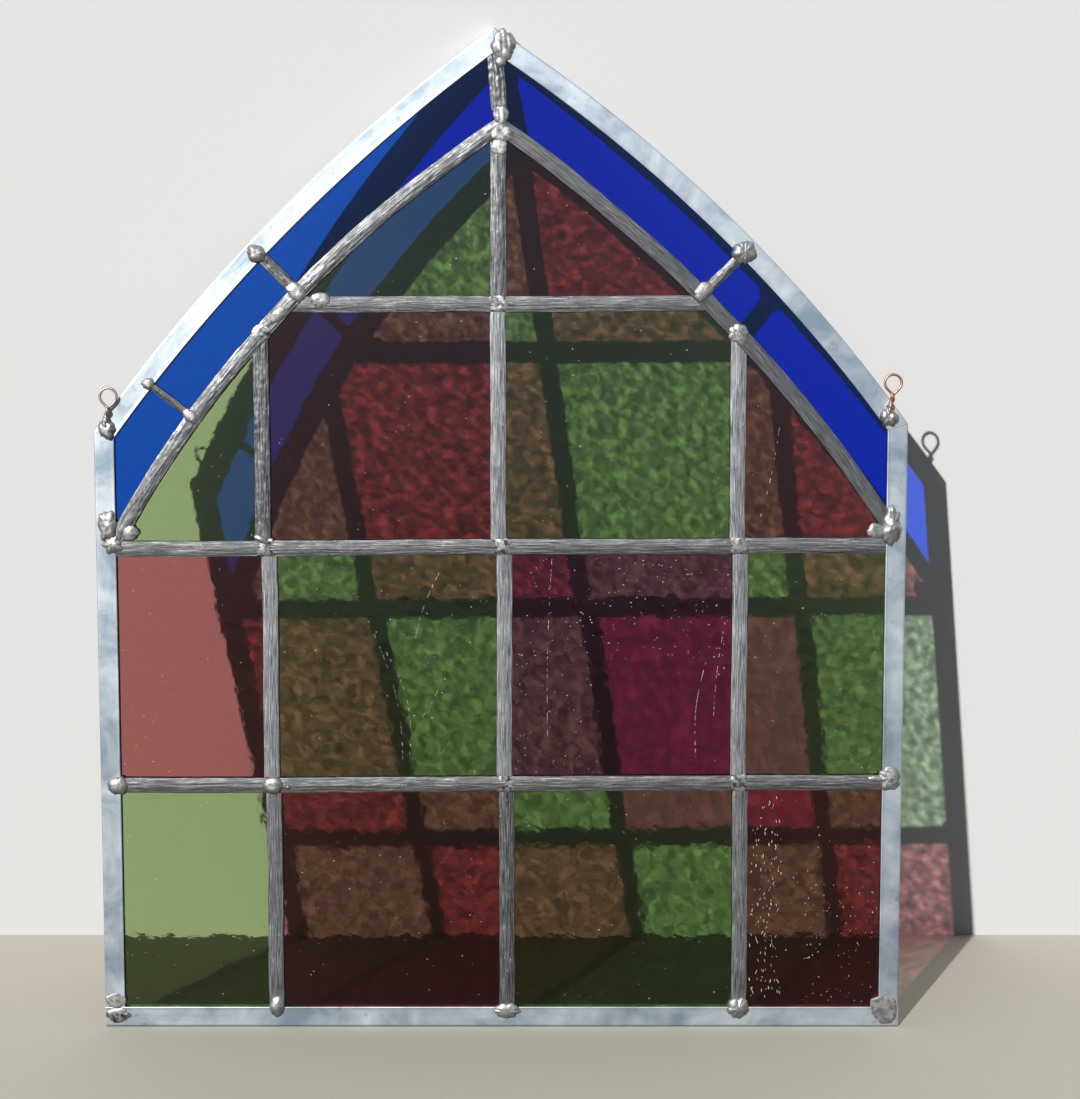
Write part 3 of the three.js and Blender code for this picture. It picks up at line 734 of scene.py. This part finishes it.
# Every pane from the came on its left to the one on its right, and from floor to ceiling.
def colouredPanes():
    look = {"step": 1.15, "dimple": 4.2, "depth": 0.09, "stretch": 1.0, "roll": 0.02}
    colours = {
        "lower": ["green", "red", "green", "red"],
        "middle": ["red", "green", "magenta", "green"],
        "upper": ["green", "red", "green", "red"],
        "peak": ["green", "red"],
    }
    zincInset, leadInset = 2.5, 1.4
    below = {"middle": "lower", "upper": "middle", "peak": "upper"}
    edge = panel["width"] / 2 - zincInset
    for row, names in colours.items():
        walls = [-edge - leadInset, *uprightPlaces[row], edge + leadInset]
        for k, colour in enumerate(names):
            floor = (lambda x, b=below.get(row): crossHeight(b, x) + leadInset) if row in below else (
                lambda x: zincInset + 0 * x)
            if row == "peak":
                ceiling = lambda x: archHeight(x, leadInset)
            elif row == "upper":
                ceiling = lambda x: np.minimum(crossHeight("upper", x) - leadInset, archHeight(x, leadInset))
            else:
                ceiling = lambda x, r=row: crossHeight(r, x) - leadInset
            left, right = walls[k] + leadInset, walls[k + 1] - leadInset
            if row in ("upper", "peak"):
                spots = np.linspace(left, right, 4000)
                inside = spots[ceiling(spots) - floor(spots) > 0.4]
                left, right = inside[0], inside[-1]
            paneSlab(f"pane{row.title()}{k + 1}", left, right, floor, ceiling, colour,
                     f"glass_{row}_{k + 1}_{colour}", 200 + 10 * k + len(row), look)


colouredPanes()
for name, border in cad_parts.items():
    if name.startswith("glass_border"):
        border.data.materials.clear()
        border.data.materials.append(glassFinish["blue"])
print("glass made")


# A mound on the panel's face. With r from 0 to 1 and the angle a, its height is
# rise (1 - r^p)^q, swelled by lumps and by ridges in a, and its edge is ragged: R(a) (1 + noise).
def solderMound(name, at, size, rise, base, side, seed, finish, lumps=0.25, ragged=0.12, spikes=0, power=2.4,
                turn=0.0, grooves=0.0):
    around, rings = 52, 18
    angle = np.linspace(0, 2 * np.pi, around, endpoint=False)[None, :]
    ring = np.linspace(0, 1, rings)[1:, None] ** 0.8
    edge = 1 + ragged * latticeNoise(np.cos(angle) * 2.3 + 9, np.sin(angle) * 2.3 + 9, seed)
    edge = edge + 0.5 * ragged * latticeNoise(np.cos(angle) * 6 + 20, np.sin(angle) * 6 + 20, seed + 1)
    scallop = np.sin(angle * spikes + seed + 2 * np.sin(2 * angle + seed)) if spikes else 0 * angle
    edge = edge + 0.06 * scallop
    x, z = ring * edge * np.cos(angle) * size[0], ring * edge * np.sin(angle) * size[1]
    swell = 1 + 0.65 * lumps * (layeredNoise(x / 4.2 + 5, z / 4.2 + 5, seed + 2, 2) + 0.5)
    swell = swell + grooves * np.sin(x * 2.6 + 0.6 * np.sin(z / 3 + seed))
    swell = swell + 0.05 * scallop * ring
    dome = np.clip(1 - ring ** power, 0, 1) ** 0.55
    height = rise * dome * np.clip(swell, 0.3, 2)
    sink = np.array([[0.35], [0.5]])
    x = np.concatenate([x, x[-1:], x[-1:] * 0.5])
    z = np.concatenate([z, z[-1:], z[-1:] * 0.5])
    height = np.concatenate([height, -sink * np.ones_like(angle)])
    cosTurn, sinTurn = math.cos(turn), math.sin(turn)
    placeX, placeZ = at[0] + x * cosTurn - z * sinTurn, at[1] + x * sinTurn + z * cosTurn
    points = toFrame(placeX, side * (base + height), placeZ).reshape(-1, 3)
    crest = toFrame(at[0], side * (base + rise * (1 + 0.3 * lumps)), at[1]).reshape(1, 3)
    under = toFrame(at[0], side * (base - 0.5), at[1]).reshape(1, 3)
    faces = tubeFaces(len(x), around)[0]
    points = np.concatenate([points, crest, under])
    turnOn = np.arange(around)
    top = np.stack([0 * turnOn + len(points) - 2, turnOn, (turnOn + 1) % around], -1)
    last = (len(x) - 1) * around
    bottom = np.stack([0 * turnOn + len(points) - 1, last + (turnOn + 1) % around, last + turnOn], -1)
    ends = [*top, *bottom]
    maps = points[faces][..., [0, 2]]
    return meshPiece(name, points, faces, maps, ends, finish, sharpAngle=75)


# The point on a cross came at x.
def crossAt(name, x):
    return x, float(crossHeight(name, np.array(x)))


# The point on one half of the lead arch at x.
def archAt(side, x):
    return x, float(arcHeight(leadArcs[side], np.array(x)))


# The mounds on the front, and a plainer one behind each.
def solderJoints():
    bases = {"zinc": panel["zincFront"] - 0.1, "lead": panel["leadFront"] - 0.42}
    finishes = {"bright": brightSolder, "dull": dullSolder, "dark": darkSolder}
    joints = [  # name, at, size, rise, what it sits on, finish, more
        ("BottomLeftSide", (-186.0, 12.6), (4.9, 3.6), 0.35, "zinc", "dull", {"power": 6, "ragged": 0.1}),
        ("BottomLeft", (-184.8, 5.4), (5.6, 3.9), 0.7, "zinc", "dark", {"power": 4, "ragged": 0.16}),
        ("BottomOne", (-108.3, 9.8), (3.7, 5.4), 1.9, "zinc", "bright", {"ragged": 0.06, "power": 2}),
        ("BottomTwo", (2.5, 7.6), (6.0, 3.8), 1.3, "zinc", "bright", {"spikes": 5}),
        ("BottomThree", (114.0, 9.0), (5.2, 5.3), 1.7, "zinc", "bright", {"spikes": 7}),
        ("BottomRight", (184.2, 8.4), (6.6, 7.4), 0.45, "zinc", "dull", {"power": 7, "turn": 0.5}),
        ("LeftLow", (-182.8, 117.8), (5.0, 4.5), 1.8, "zinc", "bright", {"ragged": 0.1}),
        ("LeftMiddle", (-185.4, 242.0), (4.7, 7.6), 1.7, "zinc", "bright", {"lumps": 0.5, "ragged": 0.18}),
        ("LeftMiddleLow", (-183.2, 233.2), (4.8, 4.4), 1.3, "zinc", "bright",
         {"lumps": 0.5, "ragged": 0.2}),
        ("RightLow", (185.0, 121.4), (5.4, 6.0), 1.4, "zinc", "dull", {"spikes": 6, "lumps": 0.4}),
        ("RightLowFinger", (178.8, 121.2), (4.6, 1.7), 1.2, "lead", "bright", {"lumps": 0.4}),
        ("RightMiddle", (184.2, 241.5), (4.7, 9.6), 2.0, "zinc", "bright", {"lumps": 0.6, "ragged": 0.2}),
        ("HighLeftKnob", (-113.6, 369.0), (5.1, 4.0), 2.1, "zinc", "bright", {"turn": -0.75, "lumps": 0.4}),
        ("LowLeftKnob", (-164.9, 308.7), (3.3, 2.9), 1.2, "zinc", "bright", {"lumps": 0.4}),
        ("RightKnob", (113.6, 369.6), (5.7, 5.7), 2.1, "zinc", "bright", {"spikes": 9, "lumps": 0.5}),
        ("Apex", (1.6, 464.2), (5.4, 6.8), 1.5, "zinc", "dull",
         {"lumps": 0.3, "ragged": 0.12, "grooves": 0.06}),
        ("ApexDrop", (0.2, 456.6), (2.6, 2.8), 1.4, "zinc", "bright", {"lumps": 0.3}),
        ("StrutApexFoot", (0.4, 432.5), (3.6, 4.6), 0.9, "lead", "dull", {"grooves": 0.08, "lumps": 0.3}),
        ("ArchTop", (0.9, 424.0), (5.4, 4.2), 0.9, "lead", "dull", {"lumps": 0.35}),
        ("PeakTop", (-0.6, 418.0), (4.0, 4.0), 0.7, "lead", "dull", {"power": 5}),
        ("StrutHighFoot", (-95.4, 351.5), (5.2, 4.2), 1.0, "lead", "bright", {"lumps": 0.5, "turn": -0.8}),
        ("StrutLowFoot", (-145.6, 293.6), (4.4, 2.9), 1.0, "lead", "bright", {"lumps": 0.5, "turn": -0.7}),
        ("StrutRightFoot", (94.6, 351.3), (5.2, 3.9), 1.1, "lead", "bright", {"lumps": 0.4, "turn": 0.8}),
        ("UpperOneTop", archAt("left", -111.8), (5.2, 4.4), 0.5, "lead", "dark",
         {"lumps": 0.5, "turn": 0.8}),
        ("UpperOneShine", archAt("left", -104.0), (5.0, 3.0), 0.8, "lead", "bright",
         {"lumps": 0.6, "turn": 0.85}),
        ("UpperThreeTop", archAt("right", 111.2), (5.0, 4.6), 0.9, "lead", "dull",
         {"spikes": 5, "turn": -0.8}),
        ("ArchFootLeft", (-174.8, 238.6), (4.0, 3.6), 0.9, "lead", "dull", {"lumps": 0.4}),
        ("ArchFootRight", (176.6, 239.6), (4.0, 3.8), 0.9, "lead", "dull", {"lumps": 0.4}),
        ("UpperCrossLeft", (-84.2, 347.6), (5.0, 3.6), 0.8, "lead", "dull", {"lumps": 0.4}),
        ("UpperCrossMiddle", crossAt("upper", -1.1), (5.4, 4.4), 0.4, "lead", "dark",
         {"lumps": 0.6, "spikes": 4}),
        ("MiddleCrossOne", crossAt("middle", -110.8), (6.2, 4.4), 0.4, "lead", "dark",
         {"lumps": 0.7, "spikes": 5}),
        ("MiddleCrossOneShine", (-113.0, 235.6), (4.0, 1.7), 1.1, "lead", "bright",
         {"lumps": 0.6, "turn": -0.5}),
        ("MiddleCrossTwo", crossAt("middle", 0.2), (5.8, 4.5), 0.4, "lead", "dark",
         {"lumps": 0.7, "spikes": 4}),
        ("MiddleCrossThree", crossAt("middle", 112.1), (5.6, 4.4), 0.4, "lead", "dark",
         {"lumps": 0.6, "spikes": 4}),
        ("LowerCrossOne", crossAt("lower", -108.9), (5.0, 4.4), 1.9, "lead", "bright",
         {"power": 3, "ragged": 0.05}),
        ("LowerCrossOneBead", (-101.8, 117.2), (1.3, 1.3), 1.3, "lead", "bright",
         {"power": 2, "lumps": 0.1}),
        ("LowerCrossTwo", crossAt("lower", 2.0), (5.4, 4.4), 0.4, "lead", "dark",
         {"lumps": 0.6, "spikes": 5}),
        ("LowerCrossThree", crossAt("lower", 113.4), (5.4, 4.6), 0.4, "lead", "dark",
         {"lumps": 0.5, "power": 5}),
    ]
    for k, (name, at, size, rise, metal, finish, more) in enumerate(joints):
        base = bases[metal]
        solderMound(f"solder{name}", at, size, rise, base, -1, 300 + 3 * k, finishes[finish], **more)
        plain = {key: value for key, value in more.items() if key in ("turn", "power", "lumps")}
        solderMound(f"solderBack{name}", at, size, min(rise, 1.2), base, 1, 500 + 3 * k, dullSolder, **plain)


solderJoints()
print("solder made")


# Flakes and scratches on the panes' front. Each is a low block at c whose corners are at
# c + R(a) (+-stretch size, +-size) at the foot and at half of that on top.
def dustMesh(name, x, z, size, stretch, way, look):
    corner = np.array([(-1, -1), (1, -1), (1, 1), (-1, 1)])
    along = corner[:, 0] * (stretch * size)[:, None]
    across = corner[:, 1] * size[:, None]
    turnX = along * np.cos(way)[:, None] - across * np.sin(way)[:, None]
    turnZ = along * np.sin(way)[:, None] + across * np.cos(way)[:, None]
    layers = [(1.0, -look["plane"]), (0.5, -look["plane"] - look["rise"])]
    points = np.stack([
        toFrame(x[:, None] + k * turnX, y + 0 * turnX, z[:, None] + k * turnZ) for k, y in layers
    ], 1)
    block = np.array([(0, 1, 2, 3), (7, 6, 5, 4), (0, 4, 5, 1), (1, 5, 6, 2), (2, 6, 7, 3), (3, 7, 4, 0)])
    faces = (8 * np.arange(len(x))[:, None, None] + block).reshape(-1, 4)
    maps = points.reshape(-1, 3)[faces][..., [0, 2]]
    return meshPiece(name, points, faces, maps, [], dustFinish, sharpAngle=20)


# Clouds of flakes, and scratches: p(t) = start + t way + bow sin(pi t) across, t from 0 to 1.
def glassDust():
    look = {"plane": 1.44, "rise": 0.12, "clear": 5.2}
    rng = np.random.default_rng(5)
    clouds = [  # count, left, right, low, high, size, stretch, way
        (620, -180, 180, 11, 420, 0.16, 1.4, 0.0),
        (150, 117, 134, 14, 112, 0.15, 4.5, 1.57),
        (90, 145, 180, 10, 70, 0.15, 1.6, 1.2),
        (170, 5, 108, 178, 228, 0.15, 1.5, 0.0),
        (60, 5, 50, 124, 178, 0.14, 1.5, 0.0),
    ]
    lines = [  # from, to, bow, slivers
        ((-29, 220), (-41, 187), 1.5, 26), ((-60, 190), (-47, 126), -4, 34),
        ((-57, 186), (-44, 128), -6, 24),
        ((-38, 150), (-30, 164), 0.5, 12), ((-30, 132), (-24, 140), 0.4, 9), ((24, 226), (22, 140), 1, 40),
        ((98, 180), (93, 128), 3, 34), ((106, 196), (101, 150), 1, 18), ((-149, 262), (-143, 276), 1, 10),
        ((-166, 148), (-162, 154), 0.3, 8), ((-170, 141), (-168, 144), 0.2, 5),
        ((122, 245), (131, 290), 1, 16),
    ]
    rows = [np.concatenate([rng.uniform((left, low), (right, high), (count, 2)), np.full((count, 1), size),
                            np.full((count, 1), stretch), way + rng.normal(0, 0.25, (count, 1))], 1)
            for count, left, right, low, high, size, stretch, way in clouds]
    for start, end, bow, count in lines:
        way = np.array(end, float) - start
        t = np.sort(rng.uniform(0, 1, count))[:, None]
        aside = np.array([way[1], -way[0]])
        places = start + t * way + bow * np.sin(np.pi * t) * aside / np.linalg.norm(way)
        lean = np.full((count, 1), np.arctan2(way[1], way[0])) + rng.normal(0, 0.05, (count, 1))
        rows.append(np.concatenate([places, np.full((count, 1), 0.09), np.full((count, 1), 7.0), lean], 1))
    x, z, size, stretch, way = np.concatenate(rows).T
    size = size * rng.uniform(0.6, 1.5, len(size))
    row = sum((z > crossHeight(name, x)).astype(int) for name in crossHeights)
    free = z < archHeight(x, look["clear"] + 2)
    for name in crossHeights:
        free &= np.abs(z - crossHeight(name, x)) > look["clear"]
    for k, places in enumerate(uprightPlaces.values()):
        for place in places:
            free &= (row != k) | (np.abs(x - place) > look["clear"])
    dustMesh("glassDust", x[free], z[free], size[free], stretch[free], way[free], look)


glassDust()
print("dust made")


# A round wire along a path: p(i, a) = path + r (cos a n + sin a b), with n across the path in the
# panel's plane and b square to both.
def wireTube(name, path, radius, material, nodes):
    tangent = np.gradient(path, axis=0)
    tangent /= np.linalg.norm(tangent, axis=1)[:, None]
    across = np.cross(tangent, [0.0, 1.0, 0.0])
    across /= np.linalg.norm(across, axis=1)[:, None]
    other = np.cross(tangent, across)
    sides, rows = 18, len(path)
    angle = np.linspace(0, 2 * np.pi, sides, endpoint=False)
    worn = radius * (1 + 0.03 * layeredNoise(np.arange(rows)[:, None] / 5, angle * 1.5, 77))[..., None]
    ring = np.cos(angle)[None, :, None] * across[:, None] + np.sin(angle)[None, :, None] * other[:, None]
    shape = path[:, None] + worn * ring
    points = toFrame(shape[..., 0], shape[..., 1], shape[..., 2])
    faces, i, j = tubeFaces(rows, sides)
    maps = np.stack([np.stack([i, j], -1)] * 4, 1) / 100
    cap = np.arange(sides)
    ends = [cap, (cap + (rows - 1) * sides)[::-1]]
    return meshPiece(name, points, faces, maps, ends, material, nodes)


# Points on a smooth curve through given points, by four-point cubic blending.
def smoothThrough(points, steps):
    points = np.array(points, float)
    padded = np.concatenate([2 * points[:1] - points[1:2], points, 2 * points[-1:] - points[-2:-1]])
    t = np.linspace(0, len(points) - 1, steps)
    k = np.minimum(t.astype(int), len(points) - 2)
    f = (t - k)[:, None]
    a, b, c, d = (padded[k + n] for n in range(4))
    square, cube = 2 * a - 5 * b + 4 * c - d, 3 * b - a - 3 * c + d
    return 0.5 * (2 * b + (c - a) * f + square * f ** 2 + cube * f ** 3)


# One wire an eye: two strands twisted round the line from foot to neck, then an open loop.
def hangingEyes():
    look = {
        "left": {"centre": (-183.4, 302.8), "foot": (-185.4, 288.0), "solder": (-184.8, 287.4),
                 "size": (4.2, 5.0)},
        "right": {"centre": (183.4, 309.1), "foot": (181.8, 294.8), "solder": (181.6, 293.4),
                  "size": (4.6, 4.6)},
    }
    base = panel["zincFront"] - 0.1
    radius, twist, turns, ring, neckDrop, opening = 0.65, 0.72, 1.5, 3.9, 4.9, 38
    gap, twistRoom = 0.3, 0.75
    plane = -(panel["zincFront"] + gap + twistRoom + radius)
    for k, (side, eye) in enumerate(look.items()):
        centre, foot = np.array(eye["centre"]), np.array(eye["foot"])
        neck = centre - [0, neckDrop]
        t = np.linspace(0, 1, 10)[:, None]
        angle = 2 * np.pi * turns * t

        def strand(sign):
            line = neck + (foot - neck) * t
            return np.concatenate([line[:, :1] + sign * twist * np.cos(angle),
                                   plane + sign * twist * np.sin(angle), line[:, 1:]], 1)

        turn = np.radians(np.linspace(-opening, 180 + opening, 9))[:, None]
        acrossRing, upRing = centre[0] + ring * np.cos(turn), centre[1] + ring * np.sin(turn)
        loop = np.concatenate([acrossRing, plane + 0 * turn, upRing], 1)
        path = smoothThrough(np.concatenate([strand(1)[::-1], loop, strand(-1)]), 300)
        wireTube(f"eyeWire{side.title()}", path, radius, wireFinish[side], [f"hanging_eye_{side}"])
        solderMound(f"eyeSolder{side.title()}", eye["solder"], eye["size"], 2.4, base, -1, 700 + k,
                    brightSolder, lumps=0.5, ragged=0.2, power=3)
        solderMound(f"eyeDrip{side.title()}", tuple(foot + [0.4, 3.6]), (2.0, 2.8), 2.2, base, -1, 710 + k,
                    brightSolder, lumps=0.5, ragged=0.2)
        solderMound(f"eyeBack{side.title()}", eye["solder"], (4, 4), 0.8, base, 1, 720 + k, dullSolder,
                    lumps=0.3)


hangingEyes()
print("hanging eyes made")


# A flat sheet between four corners. Dim is its colour to rays that don't come from
# the camera, and with a clear back it is seen through from behind.
def stageSheet(name, corners, colour, dim=None, clearBack=False):
    mesh = bpy.data.meshes.new(name)
    mesh.from_pydata(corners, [], [(0, 1, 2, 3)])
    material, tree, shader = newMaterial(name)
    shader.inputs["Base Color"].default_value = (*colour, 1)
    shader.inputs["Roughness"].default_value = 0.9
    shader.inputs["Specular IOR Level"].default_value = 0.1
    if dim:
        direct = node(tree, "ShaderNodeLightPath").outputs["Is Camera Ray"]
        tree.links.new(mixColour(tree, direct, dim, colour), shader.inputs["Base Color"])
    if clearBack:
        behind = node(tree, "ShaderNodeNewGeometry").outputs["Backfacing"]
        clear = node(tree, "ShaderNodeBsdfTransparent").outputs[0]
        seeThrough = mixShaders(tree, behind, shader.outputs[0], clear)
        tree.links.new(seeThrough, tree.nodes["Material Output"].inputs["Surface"])
    mesh.materials.append(material)
    sheet = bpy.data.objects.new(name, mesh)
    bpy.context.scene.collection.objects.link(sheet)


# The floor, and a backdrop that leans so that the panel's top nearly touches it.
def studioStage():
    look = {"side": 2.6, "ahead": 1.2, "foot": 0.151, "lean": 0.313, "tall": 2.2}
    side, floorZ = look["side"], panel["bottomHeight"] / 1000 - 0.0004
    topY, topZ = look["foot"] - look["lean"] * look["tall"], floorZ + look["tall"]
    ahead = [(-side, -look["ahead"], floorZ), (side, -look["ahead"], floorZ)]
    left, right = (-side, look["foot"], floorZ), (side, look["foot"], floorZ)
    floor = [*ahead, right, left]
    backdrop = [left, right, (side, topY, topZ), (-side, topY, topZ)]
    stageSheet("studioFloor", floor, (0.58, 0.55, 0.47), dim=(0.12, 0.115, 0.1))
    stageSheet("studioBackdrop", backdrop, (0.82, 0.82, 0.815), clearBack=True)


# One lamp, and a world of three: gleam = glossy - diffuse depth shows the shine, which grows with
# height; seen = the larger of camera and transmission, less diffuse depth, shows the pale one;
# and all other rays get the dim sky.
def studioLight():
    look = {"way": (0.465, 1.0, -0.44), "key": 3.85, "softness": 0.8, "sky": 0.16, "shine": 0.5, "low": 0.03,
            "pale": 0.75}
    lamp = bpy.data.lights.new("keyLamp", "SUN")
    lamp.energy = look["key"]
    lamp.angle = math.radians(look["softness"])
    lamp.color = (1.0, 0.985, 0.965)
    key = bpy.data.objects.new("keyLamp", lamp)
    key.rotation_euler = Vector(look["way"]).to_track_quat("-Z", "Y").to_euler()
    bpy.context.scene.collection.objects.link(key)
    world = bpy.data.worlds.new("studioAir")
    world.use_nodes = True
    tree = world.node_tree
    rays = node(tree, "ShaderNodeLightPath").outputs
    air = tree.nodes["Background"]
    air.inputs["Color"].default_value = (0.74, 0.86, 1.0, 1)
    air.inputs["Strength"].default_value = look["sky"]
    shine = node(tree, "ShaderNodeBackground", Color=(0.6, 0.8, 1.0, 1))
    height = node(tree, "ShaderNodeSeparateXYZ")
    tree.links.new(node(tree, "ShaderNodeTexCoord").outputs["Generated"], height.inputs[0])
    grade = node(tree, "ShaderNodeMapRange", From_Min=-0.2, From_Max=0.05, To_Min=look["low"],
                 To_Max=look["shine"])
    tree.links.new(height.outputs["Z"], grade.inputs["Value"])
    tree.links.new(grade.outputs[0], shine.inputs["Strength"])
    bright = node(tree, "ShaderNodeBackground", Color=(0.93, 0.95, 1.0, 1), Strength=look["pale"])
    gleam = clampedMath(tree, "SUBTRACT", rays["Is Glossy Ray"], rays["Diffuse Depth"])
    either = clampedMath(tree, "MAXIMUM", rays["Is Camera Ray"], rays["Is Transmission Ray"])
    seen = clampedMath(tree, "SUBTRACT", either, rays["Diffuse Depth"])
    glossy = mixShaders(tree, gleam, air.outputs[0], shine.outputs[0])
    mixed = mixShaders(tree, seen, glossy, bright.outputs[0])
    tree.links.new(mixed, tree.nodes["World Output"].inputs["Surface"])
    bpy.context.scene.world = world
    bpy.context.scene.cycles.caustics_refractive = False  # the glass's stand-in carries this light


# The camera stands back from its aim by distance (0, -cos e, sin e), e the elevation.
def mainCamera():
    look = {"aim": (18.4, 230.6), "elevation": 5.2, "distance": 0.914, "lens": 63.32}
    lens = bpy.data.cameras.new("mainCamera")
    lens.sensor_width = 36
    lens.lens = look["lens"]
    camera = bpy.data.objects.new("mainCamera", lens)
    rise = math.radians(look["elevation"])
    back = Vector((0, -math.cos(rise), math.sin(rise)))
    aim = Vector((look["aim"][0] / 1000, 0, (look["aim"][1] + panel["bottomHeight"]) / 1000))
    camera.location = aim + back * look["distance"]
    camera.rotation_euler = (-back).to_track_quat("-Z", "Y").to_euler()
    bpy.context.scene.collection.objects.link(camera)
    bpy.context.scene.camera = camera
    bpy.context.scene.view_settings.view_transform = "Standard"


studioStage()
studioLight()
mainCamera()
bpy.context.view_layer.update()
print("stage made")
